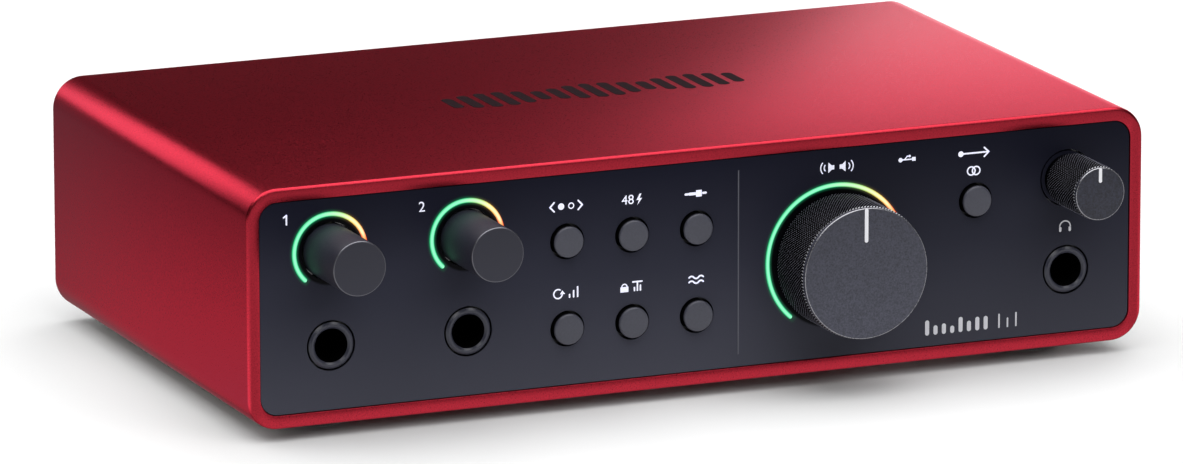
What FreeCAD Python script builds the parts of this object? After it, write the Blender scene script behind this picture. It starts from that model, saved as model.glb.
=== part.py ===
import FreeCAD, Part
import math
import os

# Two-channel desktop audio interface.
# Millimetres, +Z up, the front panel faces -Y, the rear panel faces +Y.
# The origin is the middle of the footprint at desk height.

V = FreeCAD.Vector

# ---- case -------------------------------------------------------------------
CASE_W = 180.0
CASE_H = 45.0
CASE_FRONT = -44.0
CASE_REAR = 58.5
CASE_WALL = 2.54
CASE_CORNER = 6.0
CASE_EDGE = 0.6
FOOT_H = 2.5
FOOT_R = 6.5
FOOT_EDGE = 0.6
FOOT_X = 72.0
FOOT_Y = (-30.0, 44.5)

X_IN = CASE_W / 2 - CASE_WALL
Z_LOW = FOOT_H + CASE_WALL
Z_HIGH = FOOT_H + CASE_H - CASE_WALL
INNER_CORNER = CASE_CORNER - CASE_WALL

# ---- panels -----------------------------------------------------------------
PANEL_GAP = 0.15
PANEL_T = 2.0
PANEL_FRONT = CASE_FRONT + 0.25
PANEL_BACK = PANEL_FRONT + PANEL_T
PANEL_RIM_T = 1.3
PANEL_RIM_END = -37.0
REAR_FACE = CASE_REAR - 0.3
REAR_INNER = REAR_FACE - PANEL_T

# ---- boards -----------------------------------------------------------------
BOARD_T = 1.6
BOARD_LOW = 8.8
BOARD_TOP = BOARD_LOW + BOARD_T
BOARD_X = 86.9
BOARD_FRONT = -31.2
BOARD_REAR = 55.9
CTRL_FRONT = -33.5
CTRL_BACK = CTRL_FRONT + BOARD_T
CTRL_X = 84.5
CTRL_LOW = 6.5
CTRL_TOP = 42.5
RAIL_START = -30.0
RAIL_END = 55.9
RAIL_X = 85.0
RAIL_T = 1.3
BOSS_R = 2.6
BOSS_XZ = ((-60.2, 39.5), (-60.2, 13.5), (7.4, 39.5), (7.4, 13.5), (64.0, 39.5), (60.0, 13.5))
BOSS_SCREW_R = 1.2
BOSS_HEAD_R = 2.2

# ---- rear screws ------------------------------------------------------------
SCREW_R = 0.95
SCREW_HEAD_R = 1.75
SCREW_HEAD_H = 0.8
SCREW_LEN = 9.0
TOP_PORT = (84.0, 41.6)
LOW_PORT = (60.0, 7.1)

# ---- gain controls ----------------------------------------------------------
GAIN_X = (-73.65, -46.7)
GAIN_Z = 34.9
GAIN_R = 5.12
GAIN_FACE = -58.5
GAIN_BASE = -41.9
GAIN_HOLE_R = 5.45
GAIN_EDGE = 0.35
GAIN_RING = (6.54, 7.41)
GAIN_GUIDE = (7.15, 8.1)
GAIN_ARC = (-45.0, 225.0)

# ---- output control ---------------------------------------------------------
OUT_X = 27.22
OUT_Z = 24.0
OUT_R = 12.6
OUT_FACE_R = 12.4
OUT_FACE = -57.35
OUT_FACE_T = 0.9
OUT_BASE = -45.0
OUT_CAVITY_R = 10.6
OUT_HUB_R = 4.8
OUT_HUB_END = -46.2
OUT_RING = (13.5, 14.33)
OUT_GUIDE = (13.9, 15.0)
OUT_ARC = (-48.0, 228.0)
POINTER_W = 0.93
POINTER_T = 0.3
OUT_POINTER_R = 5.9

# ---- headphone control ------------------------------------------------------
PHONE_X = 74.44
PHONE_Z = 34.9
PHONE_R = 5.15
PHONE_FACE = -58.3
PHONE_FACE_R = 5.0
PHONE_FACE_T = 0.7
PHONE_POINTER_R = 2.15

# ---- shafts -----------------------------------------------------------------
SHAFT_R = 3.0
SHAFT_FIT = 0.06
KNOB_FIT = 0.03
SHAFT_END = -36.6
SHAFT_FLOOR = -36.2
CONTROL_FRONT = -40.2
CONTROL_BUSH = -41.4
CONTROL_HALF = 4.95
POT_FRONT = -41.2
POT_HALF = 8.5
POT_BUSH_R = 3.6
POT_BUSH_END = -45.6
POT_HOLE_R = 3.7
NUT_R = 5.6
NUT_END = -45.3

# ---- buttons ----------------------------------------------------------------
BUTTONS = {
    "select": (-26.9, 32.3),
    "phantom": (-13.95, 32.3),
    "instrument": (-1.0, 32.3),
    "auto": (-26.9, 15.8),
    "safe": (-13.95, 15.8),
    "air": (-1.0, 15.8),
    "direct": (55.65, 32.3),
}
BUTTON_HOLE_R = 3.4
BUTTON_R = 2.93
BUTTON_FACE = PANEL_FRONT - 1.1
BUTTON_EDGE = 0.3
BUTTON_FLANGE_R = 4.0
BUTTON_FLANGE = (-41.45, -40.45)
BUTTON_STEM_R = 2.4
BUTTON_BACK = -38.5
SWITCH_HALF = 3.0
SWITCH_FRONT = -37.0
SWITCH_FLOOR = -34.6
PLUNGER_R = 1.7
PLUNGER_FIT = 0.05
PLUNGER_BACK = -35.8

# ---- jacks ------------------------------------------------------------------
JACK_BORE_R = 3.22
JACK_NOSE_R = 4.4
JACK_HOLE_R = 4.75
JACK_HALF = 7.6
JACK_LEN = 29.6
JACK_SLEEVE_L = 16.0
JACK_CHAMBER_R = 3.9
JACK_NOSE_EDGE = 0.4
JACK_MOUTH = 0.35
FRONT_JACKS = {"input_jack_1": -73.56, "input_jack_2": -46.6, "headphone_jack": 74.4}
FRONT_JACK_Z = 17.23
FRONT_NOSE = PANEL_FRONT - 0.35
REAR_JACKS = {"output_jack_left": 4.0, "output_jack_right": 27.0}
REAR_JACK_Z = 23.0
REAR_NOSE = REAR_FACE + 0.15
CONTACT_AT = (18.5, 23.0, 27.5)
CONTACT_W = 1.6
CONTACT_L = 2.0
CONTACT_REACH = 0.3

# ---- microphone sockets -----------------------------------------------------
MIC_X = {"mic_socket_1": -64.0, "mic_socket_2": -28.0}
MIC_Z = 25.0
MIC_R = 11.9
MIC_HOLE_R = 12.2
MIC_HALF = 12.9
MIC_BACK = 34.0
MIC_GROOVE = (7.9, 9.6)
MIC_GROOVE_L = 15.0
MIC_CORE_DROP = 0.8
MIC_PIN_CIRCLE = 4.4
MIC_PIN_R = 1.5
MIC_PIN_WALL = 0.3
MIC_PIN_L = 14.0
MIC_PIN_ANGLES = (35.0, 145.0, 270.0)
MIC_SCREW = 10.7

# ---- ports ------------------------------------------------------------------
PORT_X = {"usb_port": 50.0, "power_port": 66.0}
PORT_Z = 12.4
PORT_HALF_W = 4.5
PORT_HALF_H = 1.65
PORT_WALL = 0.32
PORT_FRONT = REAR_FACE - 0.2
PORT_L = 7.6
LOCK_X = 80.5
LOCK_Z = 14.0
LOCK_SIZE = (7.0, 3.0)


def box(x0, x1, y0, y1, z0, z1):
    return Part.makeBox(x1 - x0, y1 - y0, z1 - z0, V(x0, y0, z0))


def rod(x, z, r, y0, y1):
    return Part.makeCylinder(r, y1 - y0, V(x, y0, z), V(0, 1, 0))


def tube(x, z, r_in, r_out, y0, y1):
    return rod(x, z, r_out, y0, y1).cut(rod(x, z, r_in, y0 - 1, y1 + 1))


def prism(x0, x1, z0, z1, r, y0, y1):
    """Rounded rectangle in the XZ plane, extruded along Y."""
    body = box(x0, x1, y0, y1, z0, z1)
    upright = [e for e in body.Edges if abs(e.tangentAt(e.FirstParameter).y) > 0.99]
    return body.makeFillet(r, upright)


def lathe(x, z, profile):
    """Closed (radius, y) profile turned about an axis along Y."""
    points = [V(x + r, y, z) for r, y in profile]
    face = Part.Face(Part.makePolygon(points + points[:1]))
    return face.revolve(V(x, 0, z), V(0, 1, 0), 360)


def band(x, z, r_in, r_out, arc, y0, y1):
    """Part of a ring, from arc[0] to arc[1] degrees anticlockwise seen from the front."""
    span = arc[1] - arc[0]
    turn = FreeCAD.Rotation(V(0, 1, 0), -arc[0])
    start = turn.multVec(V(1, 0, 0))
    centre = V(x, 0, z)
    low, high = V(0, y0, 0), V(0, y1, 0)
    corners = [
        centre + start * r_in + low,
        centre + start * r_out + low,
        centre + start * r_out + high,
        centre + start * r_in + high,
    ]
    face = Part.Face(Part.makePolygon(corners + corners[:1]))
    return face.revolve(centre, V(0, -1, 0), span)


def round_band(x, z, r_in, r_out, arc, y0, y1):
    """The same with round ends."""
    whole = band(x, z, r_in, r_out, arc, y0, y1)
    middle = (r_in + r_out) / 2
    for angle in arc:
        px = x + middle * math.cos(math.radians(angle))
        pz = z + middle * math.sin(math.radians(angle))
        whole = whole.fuse(rod(px, pz, (r_out - r_in) / 2, y0, y1))
    return whole.removeSplitter()


def joined(shapes):
    first, rest = shapes[0], shapes[1:]
    return first.fuse(rest).removeSplitter() if rest else first


def group(shapes):
    return Part.makeCompound(shapes)


def rear_screw_places():
    places = [(side * x, z) for x, z in (TOP_PORT, LOW_PORT) for side in (-1, 1)]
    for x in MIC_X.values():
        places.append((x - MIC_SCREW, MIC_Z + MIC_SCREW))
        places.append((x + MIC_SCREW, MIC_Z - MIC_SCREW))
    return places


def rear_screw(x, z, grow=0.0):
    """Countersunk screw whose head lies flush in the rear panel."""
    end = REAR_FACE - SCREW_LEN
    seat = REAR_FACE - SCREW_HEAD_H
    r, head = SCREW_R + grow, SCREW_HEAD_R + grow
    return lathe(x, z, [(0, end), (r, end), (r, seat), (head, REAR_FACE), (0, REAR_FACE)])


def case_sleeve():
    outer = prism(-CASE_W / 2, CASE_W / 2, FOOT_H, FOOT_H + CASE_H, CASE_CORNER, CASE_FRONT, CASE_REAR)
    ends = [e for e in outer.Edges if e.BoundBox.YLength < 1e-6]
    outer = outer.makeChamfer(CASE_EDGE, ends)
    shell = outer.cut(prism(-X_IN, X_IN, Z_LOW, Z_HIGH, INNER_CORNER, CASE_FRONT - 1, CASE_REAR + 1))
    added = []
    for side in (-1, 1):
        x0, x1 = sorted((side * RAIL_X, side * (X_IN + 0.5)))
        for z0 in (BOARD_LOW - RAIL_T, BOARD_TOP):
            added.append(box(x0, x1, RAIL_START, RAIL_END, z0, z0 + RAIL_T))
        x0, x1 = sorted((side * (TOP_PORT[0] - 2.2), side * (X_IN + 0.5)))
        added.append(box(x0, x1, RAIL_START, RAIL_END, TOP_PORT[1] - 2.2, Z_HIGH + 0.5))
        x = side * LOW_PORT[0]
        added.append(box(x - 2.2, x + 2.2, RAIL_START, RAIL_END, Z_LOW - 0.5, BOARD_LOW - 0.2))
    shell = joined([shell] + added)
    for x, z in rear_screw_places()[:4]:
        shell = shell.cut(rod(x, z, SCREW_R, RAIL_END - 12.0, RAIL_END + 1))
    return shell


def front_panel():
    edge_x, low, high = X_IN - PANEL_GAP, Z_LOW + PANEL_GAP, Z_HIGH - PANEL_GAP
    corner = INNER_CORNER - PANEL_GAP
    panel = prism(-edge_x, edge_x, low, high, corner, PANEL_FRONT, PANEL_RIM_END)
    t = PANEL_RIM_T
    hollow = prism(-edge_x + t, edge_x - t, low + t, high - t, corner - t, PANEL_BACK, PANEL_RIM_END + 1)
    panel = panel.cut(hollow)
    bosses = [tube(x, z, BOSS_SCREW_R, BOSS_R, PANEL_BACK - 0.2, CTRL_FRONT) for x, z in BOSS_XZ]
    panel = joined([panel] + bosses)
    y0, y1 = PANEL_FRONT - 1, PANEL_BACK + 0.01
    holes = [rod(x, GAIN_Z, GAIN_HOLE_R, y0, y1) for x in GAIN_X]
    holes.append(rod(PHONE_X, PHONE_Z, GAIN_HOLE_R, y0, y1))
    holes.append(rod(OUT_X, OUT_Z, POT_HOLE_R, y0, y1))
    holes += [rod(x, z, BUTTON_HOLE_R, y0, y1) for x, z in BUTTONS.values()]
    holes += [rod(x, FRONT_JACK_Z, JACK_HOLE_R, y0, y1) for x in FRONT_JACKS.values()]
    holes += [round_band(x, GAIN_Z, *GAIN_RING, GAIN_ARC, y0, y1) for x in GAIN_X]
    holes.append(round_band(OUT_X, OUT_Z, *OUT_RING, OUT_ARC, y0, y1))
    return panel.cut(holes)


def rear_panel():
    edge_x, low, high = X_IN - PANEL_GAP, Z_LOW + PANEL_GAP, Z_HIGH - PANEL_GAP
    panel = prism(-edge_x, edge_x, low, high, INNER_CORNER - PANEL_GAP, REAR_INNER, REAR_FACE)
    y0, y1 = REAR_INNER - 1, REAR_FACE + 1
    holes = [rod(x, MIC_Z, MIC_HOLE_R, y0, y1) for x in MIC_X.values()]
    holes += [rod(x, REAR_JACK_Z, JACK_HOLE_R, y0, y1) for x in REAR_JACKS.values()]
    w, h = PORT_HALF_W + 0.35, PORT_HALF_H + 0.35
    holes += [prism(x - w, x + w, PORT_Z - h, PORT_Z + h, h - 0.01, y0, y1) for x in PORT_X.values()]
    w, h = LOCK_SIZE[0] / 2, LOCK_SIZE[1] / 2
    holes.append(prism(LOCK_X - w, LOCK_X + w, LOCK_Z - h, LOCK_Z + h, 1.0, y0, y1))
    holes += [rear_screw(x, z, 0.02) for x, z in rear_screw_places()]
    return panel.cut(holes)


def rubber_foot(x, y):
    disc = Part.makeCylinder(FOOT_R, FOOT_H, V(x, y, 0))
    rim = [e for e in disc.Edges if e.BoundBox.ZMax < 1e-6]
    return disc.makeFillet(FOOT_EDGE, rim)


def light_guide(x, z, ring, guide, arc):
    """Lit ring: a lip in the panel, a flange behind it and a skirt down to the lamps."""
    lip = round_band(x, z, *ring, arc, PANEL_FRONT, PANEL_BACK)
    flange = band(x, z, ring[0] - 0.4, guide[1], arc, PANEL_BACK, PANEL_BACK + 0.85)
    skirt = band(x, z, *guide, arc, PANEL_BACK + 0.85, CTRL_FRONT - 1.1)
    return joined([lip, flange, skirt])


def ring_lamps():
    rings = [(x, GAIN_Z, GAIN_GUIDE, GAIN_ARC, 9) for x in GAIN_X]
    rings.append((OUT_X, OUT_Z, OUT_GUIDE, OUT_ARC, 13))
    lamps = []
    for x, z, guide, arc, count in rings:
        r = (guide[0] + guide[1]) / 2
        for i in range(count):
            a = math.radians(arc[0] + (arc[1] - arc[0]) * (i + 0.5) / count)
            lamps.append(rod(x + r * math.cos(a), z + r * math.sin(a), 0.42, CTRL_FRONT - 0.7, CTRL_FRONT))
    return group(lamps)


def turned_knob(x, z, r, face, base, edge):
    return lathe(x, z, [(0, face), (r - edge, face), (r, face + edge), (r, base), (0, base)])


def shaft_hole(x, z, face, base):
    return rod(x, z, SHAFT_R + KNOB_FIT, face, base + 1)


def gain_knob(x):
    knob = turned_knob(x, GAIN_Z, GAIN_R, GAIN_FACE, GAIN_BASE, GAIN_EDGE)
    return knob.cut(shaft_hole(x, GAIN_Z, GAIN_FACE + 2.0, GAIN_BASE))


def shaft(x, z, front, back=SHAFT_END):
    """Six millimetre shaft with a flat on the part inside the knob."""
    whole = rod(x, z, SHAFT_R, front, back)
    flat = box(x - 4, x + 4, front - 1, front + 8.0, z - 4, z - SHAFT_R + 0.8)
    return whole.cut(flat)


def control_body(x, z, half_z):
    body = box(x - CONTROL_HALF, x + CONTROL_HALF, CONTROL_FRONT, CTRL_FRONT, z - half_z, z + half_z)
    bush = rod(x, z, 4.2, CONTROL_BUSH, CONTROL_FRONT)
    return joined([body, bush]).cut(rod(x, z, SHAFT_R + SHAFT_FIT, CONTROL_BUSH - 1, SHAFT_FLOOR))


def pointer(x, z, r_from, r_to, face):
    """White line let into a knob face, round at its inner end."""
    w = POINTER_W / 2
    bar = box(x - w, x + w, face, face + POINTER_T, z + r_from + w, z + r_to)
    end = rod(x, z + r_from + w, w, face, face + POINTER_T)
    return joined([bar, end])


def output_grip():
    back = OUT_FACE + OUT_FACE_T
    profile = [
        (0, back),
        (OUT_R, back),
        (OUT_R, OUT_BASE),
        (OUT_CAVITY_R, OUT_BASE),
        (OUT_CAVITY_R, back + 2.2),
        (OUT_HUB_R, back + 2.2),
        (OUT_HUB_R, OUT_HUB_END),
        (0, OUT_HUB_END),
    ]
    return lathe(OUT_X, OUT_Z, profile).cut(shaft_hole(OUT_X, OUT_Z, back + 0.8, OUT_HUB_END))


def output_face():
    disc = turned_knob(OUT_X, OUT_Z, OUT_FACE_R, OUT_FACE, OUT_FACE + OUT_FACE_T, 0.3)
    return disc.cut(output_pointer())


def output_pointer():
    return pointer(OUT_X, OUT_Z, OUT_POINTER_R, OUT_FACE_R - 0.3, OUT_FACE)


def output_pot():
    body = box(OUT_X - POT_HALF, OUT_X + POT_HALF, POT_FRONT, CTRL_FRONT, OUT_Z - POT_HALF, OUT_Z + POT_HALF)
    bush = rod(OUT_X, OUT_Z, POT_BUSH_R, POT_BUSH_END, POT_FRONT)
    return joined([body, bush]).cut(rod(OUT_X, OUT_Z, SHAFT_R + SHAFT_FIT, POT_BUSH_END - 1, SHAFT_FLOOR))


def output_nut():
    corners = []
    for i in range(7):
        a = math.radians(60 * i)
        corners.append(V(OUT_X + NUT_R * math.cos(a), NUT_END, OUT_Z + NUT_R * math.sin(a)))
    nut = Part.Face(Part.makePolygon(corners)).extrude(V(0, PANEL_FRONT - NUT_END, 0))
    return nut.cut(rod(OUT_X, OUT_Z, POT_BUSH_R, NUT_END - 1, PANEL_FRONT + 1))


def phone_grip():
    back = PHONE_FACE + PHONE_FACE_T
    grip = rod(PHONE_X, PHONE_Z, PHONE_R, back, GAIN_BASE)
    return grip.cut(shaft_hole(PHONE_X, PHONE_Z, back + 1.4, GAIN_BASE))


def phone_face():
    disc = turned_knob(PHONE_X, PHONE_Z, PHONE_FACE_R, PHONE_FACE, PHONE_FACE + PHONE_FACE_T, 0.25)
    return disc.cut(phone_pointer())


def phone_pointer():
    return pointer(PHONE_X, PHONE_Z, PHONE_POINTER_R, PHONE_FACE_R - 0.25, PHONE_FACE)


def button_cap(x, z):
    profile = [
        (0, BUTTON_FACE),
        (BUTTON_R - BUTTON_EDGE, BUTTON_FACE),
        (BUTTON_R, BUTTON_FACE + BUTTON_EDGE),
        (BUTTON_R, BUTTON_FLANGE[0]),
        (BUTTON_FLANGE_R, BUTTON_FLANGE[0]),
        (BUTTON_FLANGE_R, BUTTON_FLANGE[1]),
        (BUTTON_STEM_R, BUTTON_FLANGE[1]),
        (BUTTON_STEM_R, BUTTON_BACK),
        (0, BUTTON_BACK),
    ]
    return lathe(x, z, profile)


def switch_body(x, z):
    body = box(x - SWITCH_HALF, x + SWITCH_HALF, SWITCH_FRONT, CTRL_FRONT, z - SWITCH_HALF, z + SWITCH_HALF)
    return body.cut(rod(x, z, PLUNGER_R + PLUNGER_FIT, SWITCH_FRONT - 1, SWITCH_FLOOR))


def contact_boxes(x, z, top, nose, inward):
    """Spring contacts of one jack: they reach a little into the bore behind the plug's collar."""
    found = []
    w, half = CONTACT_W / 2, CONTACT_L / 2
    z0 = z + JACK_BORE_R - CONTACT_REACH
    for depth in CONTACT_AT:
        y = nose + inward * depth
        found.append(box(x - w, x + w, y - half, y + half, z0, top + 0.3))
    return found


def jack(x, z, top, nose, wall, inward):
    """Six point three millimetre jack: a round nose in the panel and a box on the board."""
    collar = wall + inward * 0.15
    back = collar + inward * JACK_LEN
    edge, mouth = JACK_NOSE_EDGE, JACK_MOUTH
    profile = [
        (0, collar),
        (JACK_NOSE_R, collar),
        (JACK_NOSE_R, nose + inward * edge),
        (JACK_NOSE_R - edge, nose),
        (0, nose),
    ]
    body = box(x - JACK_HALF, x + JACK_HALF, min(collar, back), max(collar, back), BOARD_TOP, top)
    shape = joined([lathe(x, z, profile), body])
    floor = back - inward * 0.8
    sleeve_end = nose + inward * (mouth + JACK_SLEEVE_L)
    bore = [
        (0, nose),
        (JACK_BORE_R + mouth, nose),
        (JACK_BORE_R, nose + inward * mouth),
        (JACK_BORE_R, sleeve_end),
        (JACK_CHAMBER_R, sleeve_end),
        (JACK_CHAMBER_R, floor),
        (0, floor),
    ]
    return shape.cut([lathe(x, z, bore)] + contact_boxes(x, z, top, nose, inward))


def front_jack_top():
    return 2 * FRONT_JACK_Z - BOARD_TOP


def rear_jack_top():
    return REAR_JACK_Z + 7.0


def front_jack(x):
    return jack(x, FRONT_JACK_Z, front_jack_top(), FRONT_NOSE, PANEL_BACK, 1)


def rear_jack(x):
    return jack(x, REAR_JACK_Z, rear_jack_top(), REAR_NOSE, REAR_INNER, -1)


def jack_contacts():
    springs = []
    for x in FRONT_JACKS.values():
        springs += contact_boxes(x, FRONT_JACK_Z, front_jack_top(), FRONT_NOSE, 1)
    for x in REAR_JACKS.values():
        springs += contact_boxes(x, REAR_JACK_Z, rear_jack_top(), REAR_NOSE, -1)
    return group(springs)


def mic_pins(x):
    for angle in MIC_PIN_ANGLES:
        a = math.radians(angle)
        yield x + MIC_PIN_CIRCLE * math.cos(a), MIC_Z + MIC_PIN_CIRCLE * math.sin(a)


def mic_socket(x):
    """Housing of a three pole microphone socket, with a round well and a key slot at its top."""
    face, collar = REAR_NOSE, REAR_INNER - 0.1
    block = box(x - MIC_HALF, x + MIC_HALF, MIC_BACK, collar, MIC_Z - MIC_HALF, MIC_Z + MIC_HALF)
    foot = box(x - 9.0, x + 9.0, MIC_BACK, MIC_BACK + 8.0, BOARD_TOP, MIC_Z - MIC_HALF)
    socket = joined([block, foot, rod(x, MIC_Z, MIC_R, collar, face)])
    well_top = MIC_Z + MIC_GROOVE[1]
    cuts = [rod(x, MIC_Z, MIC_GROOVE[1], face - MIC_GROOVE_L, face + 1)]
    cuts.append(box(x - 1.4, x + 1.4, face - 9.0, face + 1, well_top - 0.3, well_top + 1.2))
    for px, pz in rear_screw_places()[4:]:
        cuts.append(rod(px, pz, SCREW_R, REAR_FACE - SCREW_LEN - 0.5, face))
    return socket.cut(cuts)


def mic_core(x):
    """The core stands in the well; the plug's barrel enters the ring groove left round it."""
    back, front = REAR_NOSE - MIC_GROOVE_L, REAR_NOSE - MIC_CORE_DROP
    core = rod(x, MIC_Z, MIC_GROOVE[0], back, front)
    return core.cut([rod(px, pz, MIC_PIN_R, REAR_NOSE - MIC_PIN_L, front + 1) for px, pz in mic_pins(x)])


def mic_contacts():
    sleeves = []
    for x in MIC_X.values():
        for px, pz in mic_pins(x):
            y1 = REAR_NOSE - MIC_CORE_DROP - 1.2
            sleeves.append(tube(px, pz, MIC_PIN_R - MIC_PIN_WALL, MIC_PIN_R, REAR_NOSE - MIC_PIN_L, y1))
    return group(sleeves)


def port_shell(x):
    w, h = PORT_HALF_W, PORT_HALF_H
    back = PORT_FRONT - PORT_L
    shell = prism(x - w, x + w, PORT_Z - h, PORT_Z + h, h - 0.01, back, PORT_FRONT)
    w, h = w - PORT_WALL, h - PORT_WALL
    inside = prism(x - w, x + w, PORT_Z - h, PORT_Z + h, h - 0.01, back + 0.8, PORT_FRONT + 1)
    feet = box(x - 2.6, x + 2.6, back, back + 5.0, BOARD_TOP, PORT_Z - h - 0.1)
    return joined([shell, feet]).cut(inside)


def port_tongue(x):
    back = PORT_FRONT - PORT_L + 0.8
    return box(x - 3.3, x + 3.3, back, PORT_FRONT - 0.6, PORT_Z - 0.35, PORT_Z + 0.35)


def main_board():
    return box(-BOARD_X, BOARD_X, BOARD_FRONT, BOARD_REAR, BOARD_LOW, BOARD_TOP)


def control_board():
    board = box(-CTRL_X, CTRL_X, CTRL_FRONT, CTRL_BACK, CTRL_LOW, CTRL_TOP)
    y0, y1 = CTRL_FRONT - 1, CTRL_BACK + 1
    half, low, high = JACK_HALF + 0.4, BOARD_TOP - 0.4, front_jack_top() + 0.4
    cuts = [box(x - half, x + half, y0, y1, low, high) for x in FRONT_JACKS.values()]
    cuts += [rod(x, z, BOSS_SCREW_R + 0.15, y0, y1) for x, z in BOSS_XZ]
    return board.cut(cuts)


def board_screw(x, z):
    head = rod(x, z, BOSS_HEAD_R, CTRL_BACK, CTRL_BACK + 1.3)
    return joined([head, rod(x, z, BOSS_SCREW_R, CTRL_BACK - 6.0, CTRL_BACK)])


def board_chips():
    places = ((-56.0, 8.0, 10.0), (-20.0, 2.0, 14.0), (18.0, 4.0, 10.0), (44.0, -6.0, 7.0), (62.0, 22.0, 6.0))
    chips = []
    for x, y, side in places:
        chips.append(box(x - side / 2, x + side / 2, y - side / 2, y + side / 2, BOARD_TOP, BOARD_TOP + 1.4))
    return group(chips)


def board_capacitors():
    places = [(-74.0, 10.0), (-40.0, 14.0), (-4.0, 16.0), (32.0, 16.0)]
    places += [(52.0, 34.0), (60.0, 34.0), (74.0, 10.0)]
    return group([Part.makeCylinder(3.15, 8.0, V(x, y, BOARD_TOP)) for x, y in places])


def board_connector():
    return box(-32.0, -8.0, CTRL_BACK, CTRL_BACK + 4.0, BOARD_TOP, BOARD_TOP + 3.0)


def all_nodes():
    nodes = {
        "case_sleeve": case_sleeve(),
        "front_panel": front_panel(),
        "rear_panel": rear_panel(),
        "rubber_feet": group([rubber_foot(side * FOOT_X, y) for side in (-1, 1) for y in FOOT_Y]),
        "rear_screws": group([rear_screw(x, z) for x, z in rear_screw_places()]),
        "main_board": main_board(),
        "main_board_chips": board_chips(),
        "board_capacitors": board_capacitors(),
        "board_connector": board_connector(),
        "control_board": control_board(),
        "control_board_screws": group([board_screw(x, z) for x, z in BOSS_XZ]),
        "ring_leds": ring_lamps(),
        "output_ring": light_guide(OUT_X, OUT_Z, OUT_RING, OUT_GUIDE, OUT_ARC),
        "output_pot": output_pot(),
        "output_pot_nut": output_nut(),
        "output_shaft": shaft(OUT_X, OUT_Z, OUT_FACE + OUT_FACE_T + 1.0),
        "output_knob_grip": output_grip(),
        "output_knob_face": output_face(),
        "output_knob_pointer": output_pointer(),
        "headphone_pot": control_body(PHONE_X, PHONE_Z, 5.5),
        "headphone_shaft": shaft(PHONE_X, PHONE_Z, PHONE_FACE + PHONE_FACE_T + 1.6),
        "headphone_knob_grip": phone_grip(),
        "headphone_knob_face": phone_face(),
        "headphone_knob_pointer": phone_pointer(),
        "button_switches": group([switch_body(x, z) for x, z in BUTTONS.values()]),
        "jack_contacts": jack_contacts(),
        "mic_cores": group([mic_core(x) for x in MIC_X.values()]),
        "mic_contacts": mic_contacts(),
        "port_tongues": group([port_tongue(x) for x in PORT_X.values()]),
    }
    for number, x in enumerate(GAIN_X, 1):
        nodes[f"gain_ring_{number}"] = light_guide(x, GAIN_Z, GAIN_RING, GAIN_GUIDE, GAIN_ARC)
        nodes[f"gain_encoder_{number}"] = control_body(x, GAIN_Z, CONTROL_HALF)
        nodes[f"gain_shaft_{number}"] = shaft(x, GAIN_Z, GAIN_FACE + 2.2)
        nodes[f"gain_knob_{number}"] = gain_knob(x)
    for name, (x, z) in BUTTONS.items():
        nodes[f"button_{name}"] = button_cap(x, z)
        nodes[f"plunger_{name}"] = rod(x, z, PLUNGER_R, BUTTON_BACK, PLUNGER_BACK)
    for name, x in FRONT_JACKS.items():
        nodes[name] = front_jack(x)
    for name, x in REAR_JACKS.items():
        nodes[name] = rear_jack(x)
    for name, x in MIC_X.items():
        nodes[name] = mic_socket(x)
    for name, x in PORT_X.items():
        nodes[name] = port_shell(x)
    return nodes


os.makedirs("parts", exist_ok=True)
for node, shape in all_nodes().items():
    shape.exportStep(f"parts/{node}.step")
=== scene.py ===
import math

import bmesh
import bpy
from mathutils import Matrix, Quaternion, Vector


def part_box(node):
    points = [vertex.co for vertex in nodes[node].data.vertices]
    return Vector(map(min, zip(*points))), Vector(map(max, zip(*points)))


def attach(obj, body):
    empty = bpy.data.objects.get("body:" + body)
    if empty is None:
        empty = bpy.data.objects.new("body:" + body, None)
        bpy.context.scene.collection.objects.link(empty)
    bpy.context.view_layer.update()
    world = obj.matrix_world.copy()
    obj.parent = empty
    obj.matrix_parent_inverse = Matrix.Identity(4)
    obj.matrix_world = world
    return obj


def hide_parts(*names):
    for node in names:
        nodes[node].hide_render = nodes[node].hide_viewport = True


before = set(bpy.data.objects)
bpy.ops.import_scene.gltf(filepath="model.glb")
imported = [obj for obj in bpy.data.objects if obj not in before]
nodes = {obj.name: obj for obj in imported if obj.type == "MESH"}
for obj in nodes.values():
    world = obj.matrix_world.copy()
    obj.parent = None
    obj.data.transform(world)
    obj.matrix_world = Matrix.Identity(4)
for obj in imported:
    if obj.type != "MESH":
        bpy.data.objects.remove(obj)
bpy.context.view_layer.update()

# Lengths below are in millimetres and become metres when a piece is finished.
MM = 0.001


def box_mm(node):
    lo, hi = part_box(node)
    return lo / MM, hi / MM


def centre_mm(node):
    lo, hi = box_mm(node)
    return (lo + hi) / 2


def half_width_mm(node):
    lo, hi = box_mm(node)
    return (hi.x - lo.x) / 2


sleeve_lo, sleeve_hi = box_mm("case_sleeve")
SLEEVE_MID = centre_mm("case_sleeve")
PANEL_FACE = box_mm("front_panel")[0].y
REAR_FACE = box_mm("rear_panel")[1].y
BUTTON_NAMES = ["select", "phantom", "instrument", "auto", "safe", "air", "direct"]

# ---------------------------------------------------------------- materials


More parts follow.
